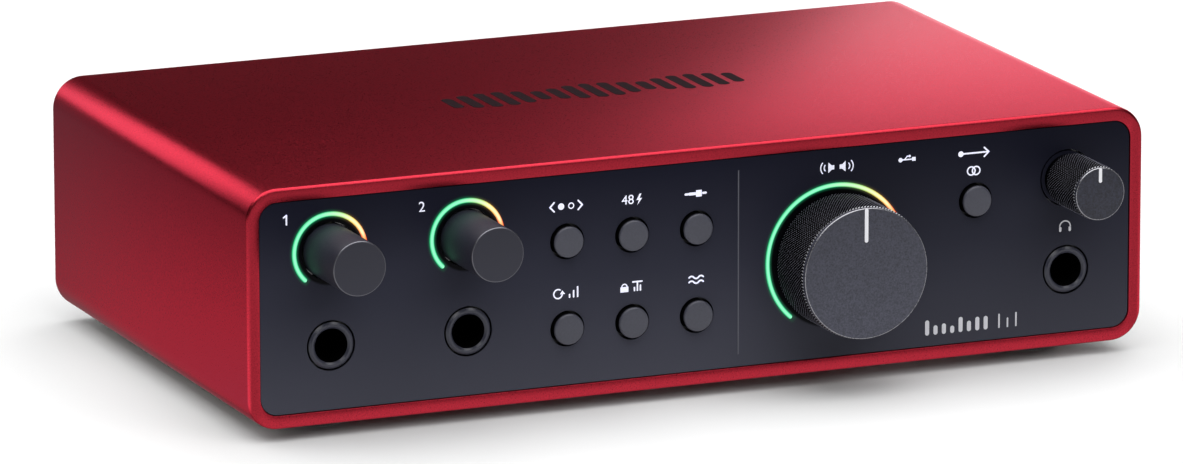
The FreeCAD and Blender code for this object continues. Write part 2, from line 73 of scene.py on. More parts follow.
class Recipe:
    """Builds one material's nodes; sizes are given in millimetres."""

    def __init__(self, name, **shader):
        self.material = bpy.data.materials.new(name)
        self.material.use_nodes = True
        self.tree = self.material.node_tree
        self.shader = self.tree.nodes["Principled BSDF"]
        for socket, value in shader.items():
            self.shader.inputs[socket.replace("_", " ")].default_value = value
        self.place = self.node("TexCoord").outputs["Object"]

    def node(self, kind, **inputs):
        """Adds a node; inputs are set by name, or by number as i0, i1 and so on."""
        made = self.tree.nodes.new("ShaderNode" + kind)
        for key, value in inputs.items():
            numbered = key[0] == "i" and key[1:].isdigit()
            socket = made.inputs[int(key[1:]) if numbered else key.replace("_", " ")]
            self.feed(socket, value)
        return made

    def feed(self, socket, value):
        if isinstance(value, bpy.types.NodeSocket):
            self.tree.links.new(value, socket)
        else:
            socket.default_value = value

    def math(self, operation, a, b=0.0):
        made = self.node("Math", i0=a, i1=b)
        made.operation = operation
        return made.outputs[0]

    def vector(self, operation, a, b=(0.0, 0.0, 0.0), scale=1.0):
        made = self.node("VectorMath", i0=a, i1=b, i3=scale)
        made.operation = operation
        return made.outputs["Value" if operation == "LENGTH" else "Vector"]

    def noise(self, size_mm, detail=2.0, rough=0.5):
        scale = 1 / (size_mm * MM)
        made = self.node("TexNoise", Vector=self.place, Scale=scale, Detail=detail, Roughness=rough)
        return made.outputs["Fac"]

    def remap(self, value, low, high, to_low=0.0, to_high=1.0, smooth=False):
        made = self.node("MapRange", Value=value)
        made.interpolation_type = "SMOOTHSTEP" if smooth else "LINEAR"
        limits = (("From Min", low), ("From Max", high), ("To Min", to_low), ("To Max", to_high))
        for key, number in limits:
            made.inputs[key].default_value = number
        return made.outputs["Result"]

    def mix(self, share, a, b):
        made = self.tree.nodes.new("ShaderNodeMix")
        made.data_type = "RGBA"
        for index, value in ((0, share), (6, a), (7, b)):
            self.feed(made.inputs[index], value)
        return made.outputs[2]

    def ramp(self, value, stops):
        made = self.node("ValToRGB", Fac=value)
        band = made.color_ramp
        while len(band.elements) < len(stops):
            band.elements.new(0.5)
        for element, (at, colour) in zip(band.elements, stops):
            element.position = at
            element.color = (*colour, 1.0)
        return made.outputs["Color"]

    def axis(self, name):
        return self.node("SeparateXYZ", Vector=self.place).outputs[name]

    def colour(self, value):
        self.feed(self.shader.inputs["Base Color"], value)

    def roughness(self, value):
        self.feed(self.shader.inputs["Roughness"], value)

    def bump(self, height, depth_mm, strength=1.0):
        made = self.node("Bump", Height=height, Strength=strength, Distance=depth_mm * MM)
        self.feed(self.shader.inputs["Normal"], made.outputs["Normal"])


def shade(rgb, factor=1.0):
    return (rgb[0] * factor, rgb[1] * factor, rgb[2] * factor, 1.0)


def anodised_red():
    """Bead-blasted, dyed aluminium; painted light makes the side walls paler low and in front, the front rim
    darker at sides and top.
    """
    m = Recipe(
        "anodised_red",
        Metallic=1.0,
        Specular_Tint=(1.0, 0.51, 0.587, 1.0),
        Coat_Weight=0.1,
        Coat_Roughness=0.35,
    )
    dye = (0.56, 0.027, 0.05)
    grain = m.noise(0.28, detail=3.0, rough=0.65)
    cloud = m.noise(9.0)
    mixed = m.mix(m.remap(grain, 0.3, 0.7), shade(dye, 0.72), shade(dye, 1.26))
    clouded = m.mix(m.remap(cloud, 0.3, 0.7, 0.0, 0.25), mixed, shade(dye, 0.9))
    split = m.node("SeparateXYZ", Vector=m.place)
    aside = m.math("ABSOLUTE", split.outputs["X"])
    side, top, front = sleeve_hi.x, sleeve_hi.z, sleeve_lo.y
    # Painted light: the side walls are painted lighter low down and towards the front, darker up high and at
    # the back.
    wall = m.remap(aside, (side - 0.8) * MM, (side - 0.05) * MM)
    low = m.remap(split.outputs["Z"], 6.0 * MM, 43.0 * MM, 1.85, 0.62)
    painted_front_light = m.remap(split.outputs["Y"], front * MM, 58.0 * MM, 1.42, 0.76)
    # Painted shade: the front rim is painted darker near its sides and its top.
    rim_side_shade = m.remap(aside, (side - 3.2) * MM, (side - 1.8) * MM, 1.0, 0.78)
    rim_crown_shade = m.remap(split.outputs["Z"], (top - 3.9) * MM, (top - 1.9) * MM, 1.0, 0.74)
    rim = m.math("MINIMUM", rim_side_shade, rim_crown_shade)
    behind_rim = m.remap(split.outputs["Y"], (front + 0.1) * MM, (front + 0.5) * MM)
    elsewhere = m.mix(behind_rim, rim, (1.0, 1.0, 1.0, 1.0))
    tone = m.mix(wall, elsewhere, m.math("MULTIPLY", low, painted_front_light))
    m.colour(m.vector("MULTIPLY", clouded, tone))
    m.roughness(m.remap(grain, 0.3, 0.7, 0.26, 0.37))
    m.bump(grain, 0.014, 0.7)
    return m.material


def ring_place(m, x, z):
    """Share of a turn (0.5 at the top, clockwise) and distance from a ring's axis."""
    offset = m.vector("SUBTRACT", m.place, (x * MM, 0.0, z * MM))
    parts = m.node("SeparateXYZ", Vector=offset)
    angle = m.math("ARCTAN2", parts.outputs["X"], parts.outputs["Z"])
    distance = m.vector("LENGTH", m.vector("MULTIPLY", offset, (1.0, 0.0, 1.0)))
    return m.remap(angle, -math.pi, math.pi), distance


def panel_satin(name, face_y, inward, rings=()):
    """Satin moulded panel with painted shade: darker towards its top, towards +X and inside its rings."""
    m = Recipe(name, Specular_IOR_Level=0.06)
    low, middle, high = (0.059, 0.06, 0.08), (0.0285, 0.0295, 0.045), (0.0075, 0.008, 0.0175)
    black, fleck, painted_hole_shade = (0.0, 0.0, 0.0), (0.02, 0.02, 0.03), (0.001, 0.001, 0.0012, 1.0)
    halo, warm_halo = (0.0, 1.0, 0.35), (0.7, 0.35, 0.04)
    split = m.node("SeparateXYZ", Vector=m.place)
    # Painted light: the panel's colour runs from lighter low down to darker at the top, and is painted
    # darker towards +X.
    height = m.remap(split.outputs["Z"], 6.0 * MM, 44.0 * MM)
    skin = m.noise(0.35)
    base = m.ramp(height, [(0.0, low), (0.5, middle), (1.0, high)])
    tone = m.remap(split.outputs["X"], 12.0 * MM, 42.0 * MM, 1.0, 0.8, smooth=True)
    face = face_y * inward
    below = m.math("MULTIPLY", split.outputs["Y"], inward)
    # Painted shade: faces deeper than the panel's face, the walls of its holes, are painted near black.
    deep = m.remap(below, (face + 0.1) * MM, (face + 0.5) * MM)
    for x, z, r_in, r_out in rings:
        distance = ring_place(m, x, z)[1]
        # Painted shade inside each ring, under its knob.
        ring_shade = m.remap(distance, (r_in - 0.45) * MM, (r_in - 0.05) * MM, 0.08, 1.0)
        tone = m.math("MULTIPLY", tone, ring_shade)
    toned = m.vector("SCALE", base, scale=tone)
    speckled = m.mix(m.remap(skin, 0.35, 0.65, 0.0, 0.04), toned, shade(fleck))
    m.colour(m.mix(deep, speckled, painted_hole_shade))
    # Painted light: each lit ring's faint halo on the panel close by is painted in as emission.
    halo_reach, glow = 0.6, black
    halo_stops = [(0.1, black), (0.13, halo), (0.5, halo), (0.6, warm_halo), (0.7, black)]
    for x, z, r_in, r_out in rings:
        share, distance = ring_place(m, x, z)
        centre_line, half = (r_in + r_out) / 2, (r_out - r_in) / 2
        away = m.math("ABSOLUTE", m.math("SUBTRACT", distance, centre_line * MM))
        near = m.remap(away, half * MM, (half + halo_reach) * MM, 1.0, 0.0)
        lit = m.vector("SCALE", m.ramp(share, halo_stops), scale=m.math("MULTIPLY", near, near))
        glow = m.vector("ADD", glow, lit)
    if rings:
        m.feed(m.shader.inputs["Emission Color"], glow)
        m.shader.inputs["Emission Strength"].default_value = 0.12
    m.roughness(m.remap(skin, 0.3, 0.7, 0.36, 0.42))
    m.bump(skin, 0.004, 0.25)
    return m.material


def moulded(name, colour, rough, grain_mm, depth_mm, spread=0.15, strength=0.5, painted_light_fall=None, **shader):
    """Moulded plastic or rubber with a spark-eroded skin; the optional painted light gradient is (low z,
    high z, low tone, high tone).
    """
    m = Recipe(name, **shader)
    grain = m.noise(grain_mm, detail=3.0, rough=0.6)
    skin = m.mix(m.remap(grain, 0.3, 0.7), shade(colour, 1 - spread), shade(colour, 1 + spread))
    if painted_light_fall:
        low_z, high_z, low_tone, high_tone = painted_light_fall
        # Painted light: the colour is scaled from the low tone at low z to the high tone at high z.
        tone = m.remap(m.axis("Z"), low_z * MM, high_z * MM, low_tone, high_tone)
        skin = m.vector("SCALE", skin, scale=tone)
    m.colour(skin)
    m.roughness(m.remap(grain, 0.3, 0.7, rough - 0.05, rough + 0.05))
    m.bump(grain, depth_mm, strength)
    return m.material


def turned_metal(name, colour, rough):
    """Plated or turned metal with fine wear."""
    m = Recipe(name, Metallic=1.0)
    wear = m.noise(0.5, detail=4.0, rough=0.65)
    m.colour(m.mix(m.remap(wear, 0.35, 0.7), shade(colour, 0.8), shade(colour, 1.1)))
    m.roughness(m.remap(wear, 0.3, 0.7, rough - 0.08, rough + 0.08))
    m.bump(wear, 0.004, 0.3)
    return m.material


def knurled(name, x, z, crest_r, foot_y):
    """Black moulded knurl with painted light: painted shade in the valleys and at the foot, painted
    highlight on the crests.
    """
    m = Recipe(name, Roughness=0.4, Specular_IOR_Level=0.03)
    valley_shade, crest_highlight = (0.0006, 0.0006, 0.001, 1.0), (0.24, 0.24, 0.3, 1.0)
    # Painted highlight on the crests, painted shade in the valleys and towards the foot.
    crest = m.remap(ring_place(m, x, z)[1], (crest_r - 0.08) * MM, (crest_r - 0.025) * MM)
    foot_shade = m.remap(m.axis("Y"), (foot_y - 0.8) * MM, foot_y * MM, 1.0, 0.0)
    m.colour(m.mix(m.math("MULTIPLY", crest, foot_shade), valley_shade, crest_highlight))
    return m.material


def lit_ring(name, x, z, r_in, r_out, warm_from):
    """Light guide: green from the lower left, yellow past the top, orange-red at the far end."""
    m = Recipe(name, Roughness=0.35)
    share, distance = ring_place(m, x, z)
    green, lime, yellow = (0.28, 1.0, 0.58), (0.6, 1.0, 0.57), (1.0, 0.98, 0.5)
    orange, red = (1.0, 0.42, 0.1), (1.0, 0.06, 0.02)
    stops = [(0.0, green), (0.46, green), (0.54, lime), (0.61, yellow)]
    stops += [(warm_from, yellow), (warm_from + 0.03, orange), (warm_from + 0.06, red)]
    core = m.ramp(share, stops)
    deep_green, deep_lime, amber = (0.0, 0.5, 0.17), (0.3, 0.6, 0.12), (0.9, 0.6, 0.08)
    stops = [(0.0, deep_green), (0.5, deep_green), (0.56, deep_lime), (0.61, amber)]
    fringe = m.ramp(share, stops + [(warm_from + 0.02, red)])
    middle, half = (r_in + r_out) / 2 * MM, (r_out - r_in) / 2 * MM
    edge = m.remap(m.math("ABSOLUTE", m.math("SUBTRACT", distance, middle)), half * 0.35, half * 0.95)
    tint = m.mix(edge, core, fringe)
    m.colour(m.vector("SCALE", tint, scale=0.05))
    m.feed(m.shader.inputs["Emission Color"], tint)
    m.shader.inputs["Emission Strength"].default_value = 1.05
    return m.material


def lit_ink(name, colour, glow):
    """Printed or back-lit marking; the glow is a lamp on back-lit marks and painted light on printed ones.
    """
    m = Recipe(name, Roughness=0.5)
    fleck = m.noise(0.2, detail=1.0)
    tone = m.mix(m.remap(fleck, 0.3, 0.7), shade(colour, 0.94), shade(colour, 1.0))
    m.colour(tone)
    m.feed(m.shader.inputs["Emission Color"], tone)
    m.shader.inputs["Emission Strength"].default_value = glow
    return m.material


def nose_grey(name, colour, face_y, reach, rough, gloss):
    """Satin moulded front; deeper than the panel's face it turns near black, painted shade of the hole."""
    m = Recipe(name, Roughness=rough, Specular_IOR_Level=gloss)
    painted_hole_shade = (0.0012, 0.0012, 0.0015, 1.0)
    # Painted shade: below the face, in the hole or gap, the colour turns near black.
    deep = m.remap(m.axis("Y"), (face_y + reach) * MM, (face_y + reach * 1.5) * MM)
    grain = m.noise(0.3)
    nose = m.mix(m.remap(grain, 0.3, 0.7), shade(colour, 0.92), shade(colour, 1.08))
    m.colour(m.mix(deep, nose, painted_hole_shade))
    return m.material


def circuit_green():
    """Lacquered circuit board with faint copper lines."""
    m = Recipe("circuit_green", Roughness=0.3)
    lines = m.node("TexBrick", Vector=m.place, Scale=180.0)
    for key, tone in (("Color1", 0.8), ("Color2", 1.1), ("Mortar", 1.8)):
        lines.inputs[key].default_value = shade((0.012, 0.075, 0.03), tone)
    lines.inputs["Mortar Size"].default_value = 0.03
    m.colour(lines.outputs["Color"])
    m.bump(m.noise(0.4), 0.01, 0.3)
    return m.material


output_mid, headphone_mid = centre_mm("output_knob_grip"), centre_mm("headphone_knob_grip")
OUTPUT_R, HEADPHONE_R = half_width_mm("output_knob_grip"), half_width_mm("headphone_knob_grip")
gain_mids = [centre_mm("gain_knob_1"), centre_mm("gain_knob_2")]
BUTTON_FACE, JACK_FACE = box_mm("button_select")[0].y, box_mm("input_jack_1")[0].y

# Inner and outer radius of each kind of lit ring.
GAIN_RING, OUTPUT_RING = (6.54, 7.41), (13.5, 14.33)
RINGS = [(mid.x, mid.z, *GAIN_RING) for mid in gain_mids] + [(output_mid.x, output_mid.z, *OUTPUT_RING)]

RED = anodised_red()
PANEL = panel_satin("panel_satin", PANEL_FACE, 1, RINGS)
REAR_PANEL = panel_satin("rear_panel_satin", REAR_FACE, -1)
SOFT_KNOB = moulded(
    "soft_touch_grey",
    (0.018, 0.0182, 0.032),
    rough=0.5,
    grain_mm=0.5,
    depth_mm=0.01,
    spread=0.05,
    strength=0.15,
    # Painted light: lighter low on the knob, darker towards its top.
    painted_light_fall=(29.0, 41.0, 1.15, 0.85),
)
OUTPUT_KNURL = knurled("output_knurl", output_mid.x, output_mid.z, OUTPUT_R, foot_y=-44.5)
HEADPHONE_KNURL = knurled("headphone_knurl", headphone_mid.x, headphone_mid.z, HEADPHONE_R, foot_y=-45.6)
# Paler metal on the knobs' rims stands in for their bright edge: a painted highlight line, though the metal
# also reflects the lights for real.
KNOB_RIM_HIGHLIGHT = turned_metal("knob_rim_highlight", (0.4, 0.4, 0.43), 0.3)
SOFT_RIM_HIGHLIGHT = turned_metal("soft_rim_highlight", (0.2, 0.2, 0.225), 0.36)
OUTPUT_FACE = moulded(
    "output_face_grain",
    (0.044, 0.0455, 0.066),
    rough=0.46,
    grain_mm=0.34,
    depth_mm=0.03,
    spread=0.45,
    strength=0.6,
    # Painted light: lighter low on the face, darker towards its top.
    painted_light_fall=(12.0, 36.0, 1.24, 0.84),
)
HEADPHONE_FACE = moulded(
    "headphone_face_grain",
    (0.019, 0.02, 0.034),
    rough=0.46,
    grain_mm=0.34,
    depth_mm=0.03,
    spread=0.6,
    strength=0.7,
)
BUTTON = nose_grey("button_grey", (0.055, 0.056, 0.076), BUTTON_FACE, reach=0.35, rough=0.36, gloss=0.5)
JACK_GREY = (0.036, 0.0375, 0.055)
FRONT_JACK = nose_grey("front_jack_black", JACK_GREY, JACK_FACE, reach=0.3, rough=0.3, gloss=0.45)
SOCKET = moulded("socket_black", (0.012, 0.012, 0.014), 0.36, 0.3, 0.006, spread=0.15, strength=0.3)
CHIP = moulded("component_black", (0.015, 0.015, 0.015), 0.5, 0.3, 0.01)
RUBBER = moulded("foot_rubber", (0.016, 0.016, 0.016), 0.75, 0.35, 0.03, spread=0.2, strength=0.7)
PLUNGER = moulded("plunger_white", (0.75, 0.74, 0.7), 0.4, 0.4, 0.006)
STEEL = turned_metal("port_steel", (0.62, 0.62, 0.64), 0.3)
DARK_STEEL = turned_metal("screw_dark", (0.2, 0.2, 0.21), 0.34)
BRASS = turned_metal("contact_gold", (0.85, 0.62, 0.28), 0.28)
CAN = turned_metal("capacitor_can", (0.7, 0.7, 0.72), 0.32)
LAMP = lit_ink("lamp_lens", (0.9, 0.95, 0.8), 0.6)
CIRCUIT = circuit_green()
INK_LIT = lit_ink("marking_lit", (0.8, 0.81, 0.95), 0.35)
# Painted light: the pale and grey printed marks are given a faint glow.
INK_PALE_PAINTED_GLOW = lit_ink("marking_pale", (0.56, 0.56, 0.6), 0.15)
INK_GREY_PAINTED_GLOW = lit_ink("marking_grey", (0.085, 0.087, 0.11), 0.02)
INK_DARK = moulded(
    "marking_dark",
    (0.012, 0.004, 0.006),
    rough=0.75,
    grain_mm=0.3,
    depth_mm=0.004,
    spread=0.2,
    strength=0.2,
    Specular_IOR_Level=0.05,
)
# Painted light: the printed pointers are given a faint glow.
POINTER_PAINTED_GLOW = lit_ink("pointer_white", (0.72, 0.72, 0.76), 0.14)

FINISH = {
    PANEL: ["front_panel"],
    REAR_PANEL: ["rear_panel"],
    RED: ["case_sleeve"],
    SOFT_KNOB: ["gain_knob_1", "gain_knob_2"],
    OUTPUT_KNURL: ["output_knob_grip"],
    HEADPHONE_KNURL: ["headphone_knob_grip"],
    FRONT_JACK: ["input_jack_1", "input_jack_2", "headphone_jack"],
    OUTPUT_FACE: ["output_knob_face"],
    HEADPHONE_FACE: ["headphone_knob_face"],
    POINTER_PAINTED_GLOW: ["output_knob_pointer", "headphone_knob_pointer"],
    BUTTON: [f"button_{name}" for name in BUTTON_NAMES],
    PLUNGER: [f"plunger_{name}" for name in BUTTON_NAMES],
    SOCKET: [
        "output_jack_left",
        "output_jack_right",
        "mic_socket_1",
        "mic_socket_2",
        "mic_cores",
    ],
    CHIP: ["main_board_chips", "board_connector", "button_switches", "port_tongues"],
    RUBBER: ["rubber_feet"],
    STEEL: [
        "usb_port",
        "power_port",
        "gain_shaft_1",
        "gain_shaft_2",
        "output_shaft",
        "headphone_shaft",
        "output_pot",
        "headphone_pot",
        "gain_encoder_1",
        "gain_encoder_2",
        "output_pot_nut",
    ],
    DARK_STEEL: ["rear_screws", "control_board_screws"],
    BRASS: ["jack_contacts", "mic_contacts"],
    CAN: ["board_capacitors"],
    LAMP: ["ring_leds"],
    CIRCUIT: ["main_board", "control_board"],
}
for material, names in FINISH.items():
    for name in names:
        mesh = nodes[name].data
        mesh.materials.clear()
        mesh.materials.append(material)

# ---------------------------------------------------------------- shaping


def finish_piece(name, bm, material, body, stands_for=(), smooth_deg=35.0, second=None):
    """Turns a millimetre bmesh into a piece that rides on its body; `second` is for faces with index 1."""
    bmesh.ops.remove_doubles(bm, verts=bm.verts, dist=1e-4)
    bmesh.ops.recalc_face_normals(bm, faces=bm.faces)
    bmesh.ops.scale(bm, vec=(MM, MM, MM), verts=bm.verts)
    mesh = bpy.data.meshes.new(name)
    bm.to_mesh(mesh)
    bm.free()
    mesh.shade_smooth()
    mesh.set_sharp_from_angle(angle=math.radians(smooth_deg))
    mesh.materials.append(material)
    if second:
        mesh.materials.append(second)
    made = bpy.data.objects.new(name, mesh)
    bpy.context.scene.collection.objects.link(made)
    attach(made, body)
    if stands_for:
        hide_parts(*stands_for)
    return made


def block(bm, lo, hi):
    place = Matrix.Translation((lo + hi) / 2) @ Matrix.Diagonal((*(hi - lo), 1.0))
    bmesh.ops.create_cube(bm, size=1.0, matrix=place)


def along_y(edge):
    return abs((edge.verts[0].co - edge.verts[1].co).normalized().y) > 0.999


def round_edges(bm, edges, radius, segments):
    bmesh.ops.bevel(
        bm,
        geom=edges,
        offset=radius,
        affect="EDGES",
        segments=segments,
        profile=0.5,
        material=-1,
        clamp_overlap=True,
    )


def turn(bm, x, z, profile, steps=96):
    """Spins (radius, y, corner rounding) points about an axis along Y."""
    verts = [bm.verts.new((x + r, y, z)) for r, y, rounding in profile]
    for pair in zip(verts, verts[1:]):
        bm.edges.new(pair)
    for vert, (r, y, rounding) in zip(verts, profile):
        if rounding:
            bmesh.ops.bevel(
                bm, geom=[vert], offset=rounding, affect="VERTICES", segments=4, profile=0.5, material=-1
            )
    wire = [v for v in bm.verts if not v.link_faces]
    lines = [e for e in bm.edges if not e.link_faces]
    bmesh.ops.spin(
        bm, geom=wire + lines, cent=(x, 0, z), axis=(0, 1, 0), angle=math.tau, steps=steps, use_merge=True
    )


# Marks are drawn flat, u to the right and v up, then laid on a face of the case.
SIDES = {
    "front": Matrix.Rotation(math.pi / 2, 4, "X"),
    "rear": Matrix.Rotation(math.pi, 4, "Z") @ Matrix.Rotation(math.pi / 2, 4, "X"),
    "top": Matrix.Identity(4),
}


def dot(bm, at, radius):
    bmesh.ops.create_circle(
        bm, cap_ends=True, segments=24, radius=radius, matrix=Matrix.Translation((*at, 0))
    )


def stroke(bm, start, end, width):
    """Straight line with round ends, from end to end of its middle line."""
    start, end = Vector((*start, 0)), Vector((*end, 0))
    run = end - start
    half_step = math.pi / 16
    turned = Matrix.Rotation(math.atan2(run.y, run.x) + half_step, 4, "Z")
    made = bmesh.ops.create_circle(
        bm, cap_ends=True, segments=16, radius=width / 2, matrix=Matrix.Translation(start) @ turned
    )
    bmesh.ops.translate(bm, vec=run, verts=[v for v in made["verts"] if (v.co - start).dot(run) > 0])


def path(bm, points, width):
    for start, end in zip(points, points[1:]):
        stroke(bm, start, end, width)


def arc(bm, middle, radius, first, last, width):
    """Curved line; angles in degrees, anticlockwise from the right."""
    whole = last - first >= 360
    swing = Matrix.Translation((*middle, 0)) @ Matrix.Rotation(math.radians(first), 4, "Z")
    ends = [bm.verts.new(swing @ Vector((radius + side * width / 2, 0, 0))) for side in (-1, 1)]
    bmesh.ops.spin(
        bm,
        geom=ends + [bm.edges.new(ends)],
        cent=(*middle, 0),
        axis=(0, 0, 1),
        angle=math.radians(last - first),
        steps=max(8, round((last - first) / 9)),
        use_merge=whole,
    )
    if not whole:
        for angle in (first, last):
            a = math.radians(angle)
            dot(bm, (middle[0] + radius * math.cos(a), middle[1] + radius * math.sin(a)), width / 2)


def outline(bm, points):
    bm.faces.new([bm.verts.new((*point, 0)) for point in points])


def numeral(bm, text, height, at=(0.0, 0.0)):
    digit_share = 0.7  # height of a digit as a share of the font's size
    curve = bpy.data.curves.new("numeral", "FONT")
    curve.body, curve.size = text, height / digit_share
    curve.align_x, curve.align_y = "CENTER", "CENTER"
    holder = bpy.data.objects.new("numeral", curve)
    mesh = bpy.data.meshes.new_from_object(holder)
    mesh.transform(Matrix.Translation((*at, 0)))
    bm.from_mesh(mesh)
    bpy.data.objects.remove(holder)
    bpy.data.curves.remove(curve)
    bpy.data.meshes.remove(mesh)


def lay(bm, at, side, depth):
    """Gives the flat drawing its depth and lays it on a face of the case."""
    bmesh.ops.remove_doubles(bm, verts=bm.verts, dist=1e-4)
    bmesh.ops.solidify(bm, geom=bm.faces[:], thickness=depth)
    low = min(v.co.z for v in bm.verts)
    place = Matrix.Translation(at) @ SIDES[side] @ Matrix.Translation((0, 0, -low))
    bmesh.ops.transform(bm, matrix=place, verts=bm.verts)


# ---------------------------------------------------------------- case sleeve


def make_sleeve():
    corner, wall, outer_edge, inner_edge = 6.0, 2.54, 0.6, 0.15
    bm = bmesh.new()
    block(bm, sleeve_lo, sleeve_hi)
    round_edges(bm, [e for e in bm.edges if along_y(e)], corner, 14)
    ends = [f for f in bm.faces if abs(f.normal.y) > 0.99]
    bmesh.ops.inset_region(bm, faces=ends, thickness=wall, use_even_offset=True)
    mouths = [f for f in bm.faces if abs(f.normal.y) > 0.99 and len(f.verts) > 8]
    loops = [e for f in mouths for e in f.edges]
    bmesh.ops.delete(bm, geom=mouths, context="FACES_ONLY")
    bmesh.ops.bridge_loops(bm, edges=loops)
    bm.normal_update()

    def rim(e, outer):
        faces = e.link_faces
        if len(faces) != 2 or along_y(e):
            return False
        flat = [f for f in faces if abs(f.normal.y) > 0.99]
        side = [f for f in faces if abs(f.normal.y) < 0.01]
        if not (flat and side):
            return False
        away = (side[0].calc_center_median() - SLEEVE_MID).dot(side[0].normal) > 0
        return away == outer

    bmesh.ops.recalc_face_normals(bm, faces=bm.faces)
    round_edges(bm, [e for e in bm.edges if rim(e, True)], outer_edge, 4)
    round_edges(bm, [e for e in bm.edges if rim(e, False)], inner_edge, 2)
    return finish_piece("sleeve", bm, RED, "chassis", ["case_sleeve"], smooth_deg=30)


# The dyed wall would tint the paper floor around it, so it sends no soft bounce.
make_sleeve().visible_diffuse = False

# ---------------------------------------------------------------- knobs


def paint_rim(bm, mid, r, y):
    """Gives the narrow rounding round a knob's face the paler rim material, a painted highlight line."""
    for face in bm.faces:
        at = face.calc_center_median()
        out = math.hypot(at.x - mid.x, at.z - mid.z)
        if out > r and at.y < y:
            face.material_index = 1


def make_gain_knob(number):
    name = f"gain_knob_{number}"
    lo, hi = box_mm(name)
    mid, r = (lo + hi) / 2, half_width_mm(name)
    bore_r, bore_end, rim_width = 3.1, hi.y - 8.0, 0.17
    bm = bmesh.new()
    profile = [
        (0, lo.y, 0),
        (r, lo.y, 0.18),
        (r, hi.y, 0.2),
        (bore_r, hi.y, 0),
        (bore_r, bore_end, 0),
        (0, bore_end, 0),
    ]
    turn(bm, mid.x, mid.z, profile)
    paint_rim(bm, mid, r - rim_width, lo.y + rim_width)
    body = f"gain_control_{number}"
    finish_piece(f"gain_cap_{number}", bm, SOFT_KNOB, body, [name], second=SOFT_RIM_HIGHLIGHT)


def knurl(bm, x, z, r, y0, y1, pitch, rise, depth):
    """Diamond knurl: crests and valleys stand on alternate knots of a fine net."""
    around = 2 * round(math.tau * r / pitch)
    rows = 2 * round((y1 - y0) / rise)
    step = (y1 - y0) / rows
    line = [bm.verts.new((x + r, y0 + row * step, z)) for row in range(rows + 1)]
    edges = [bm.edges.new(pair) for pair in zip(line, line[1:])]
    bmesh.ops.spin(
        bm, geom=line + edges, cent=(x, 0, z), axis=(0, 1, 0), angle=math.tau, steps=around, use_merge=True
    )
    valleys = set()
    for vert in bm.verts:
        place = round(math.atan2(vert.co.z - z, vert.co.x - x) * around / math.tau)
        if (place + round((vert.co.y - y0) / step)) % 2 == 0:
            valleys.add(vert)
    for face in list(bm.faces):
        bmesh.utils.face_split(face, *[v for v in face.verts if v in valleys])
    for vert in valleys:
        vert.co -= Vector((vert.co.x - x, 0, vert.co.z - z)).normalized() * depth


def level_rim(bm, y):
    """Open edges of a piece that lie level with y."""
    return [e for e in bm.edges if e.is_boundary and all(abs(v.co.y - y) < 1e-3 for v in e.verts)]


def make_grip(name, node_name, body, material, knurl_r, bevel, pitch, rise, depth, neck=()):
    """Knurled grip; `neck` gives the (radius, length) of a plain neck behind the knurl."""
    lo, hi = box_mm(node_name)
    mid = (lo + hi) / 2
    bm = bmesh.new()
    back = hi.y - neck[1] if neck else hi.y
    knurl(bm, mid.x, mid.z, knurl_r, lo.y + bevel, back - bevel, pitch, rise, depth)
    end_r = knurl_r - depth - bevel * 0.6
    ends = {}
    for y in (lo.y + bevel, back - bevel):
        sign = -1 if y < mid.y else 1
        made = bmesh.ops.extrude_edge_only(bm, edges=level_rim(bm, y))["geom"]
        fresh = [g for g in made if isinstance(g, bmesh.types.BMVert)]
        for vert in fresh:
            flat = Vector((vert.co.x - mid.x, 0, vert.co.z - mid.z)).normalized() * end_r
            vert.co = Vector((mid.x + flat.x, y + sign * bevel, mid.z + flat.z))
        fresh_edges = [g for g in made if isinstance(g, bmesh.types.BMEdge)]
        ends[sign] = [e for e in fresh_edges if all(v in fresh for v in e.verts)]
    # Every second tooth of the front bevel carries the paler rim material, painted highlight dashes.
    teeth = 2 * round(math.tau * knurl_r / pitch)
    for face in bm.faces:
        at = face.calc_center_median()
        place = math.atan2(at.z - mid.z, at.x - mid.x) * teeth / math.tau
        if at.y < lo.y + bevel and math.floor(place) % 2:
            face.material_index = 1
    for edges in ends.values():
        bmesh.ops.holes_fill(bm, edges=edges, sides=0)
    if neck:
        root, end = back - 0.5, hi.y - 0.3
        turn(bm, mid.x, mid.z, [(0, root, 0), (neck[0], root, 0), (neck[0], end, 0), (0, end, 0)])
    finish_piece(name, bm, material, body, [node_name], smooth_deg=12, second=KNOB_RIM_HIGHLIGHT)


def make_face(name, body, material, pointer_width, pointer_start):
    """Face disc with a fine pale rim of painted highlight, and the pointer printed on it."""
    disc, pointer = f"{name}_knob_face", f"{name}_knob_pointer"
    lo, hi = box_mm(disc)
    mid, r = (lo + hi) / 2, half_width_mm(disc)
    rim_width, margin, print_depth = 0.15, 0.04, 0.04
    bm = bmesh.new()
    turn(bm, mid.x, mid.z, [(0, lo.y, 0), (r, lo.y, 0.16), (r, hi.y, 0), (0, hi.y, 0)])
    paint_rim(bm, mid, r - rim_width, lo.y + rim_width)
    finish_piece(f"{name}_face", bm, material, body, [disc], second=KNOB_RIM_HIGHLIGHT)
    bm = bmesh.new()
    half = pointer_width / 2
    stroke(bm, (0, pointer_start + half), (0, r - margin - half), pointer_width)
    lay(bm, (mid.x, lo.y, mid.z), "front", print_depth)
    finish_piece(f"{name}_pointer", bm, POINTER_PAINTED_GLOW, body, [pointer])


def make_skirt():
    """Disc at the foot of the headphone knob that fills the panel's hole."""
    mid, r = headphone_mid, HEADPHONE_R
    back = box_mm("headphone_knob_grip")[1].y
    bm = bmesh.new()
    turn(bm, mid.x, mid.z, [(0, PANEL_FACE, 0), (r, PANEL_FACE, 0), (r, back, 0), (0, back, 0)])
    finish_piece("headphone_skirt", bm, PANEL, "headphone_control")


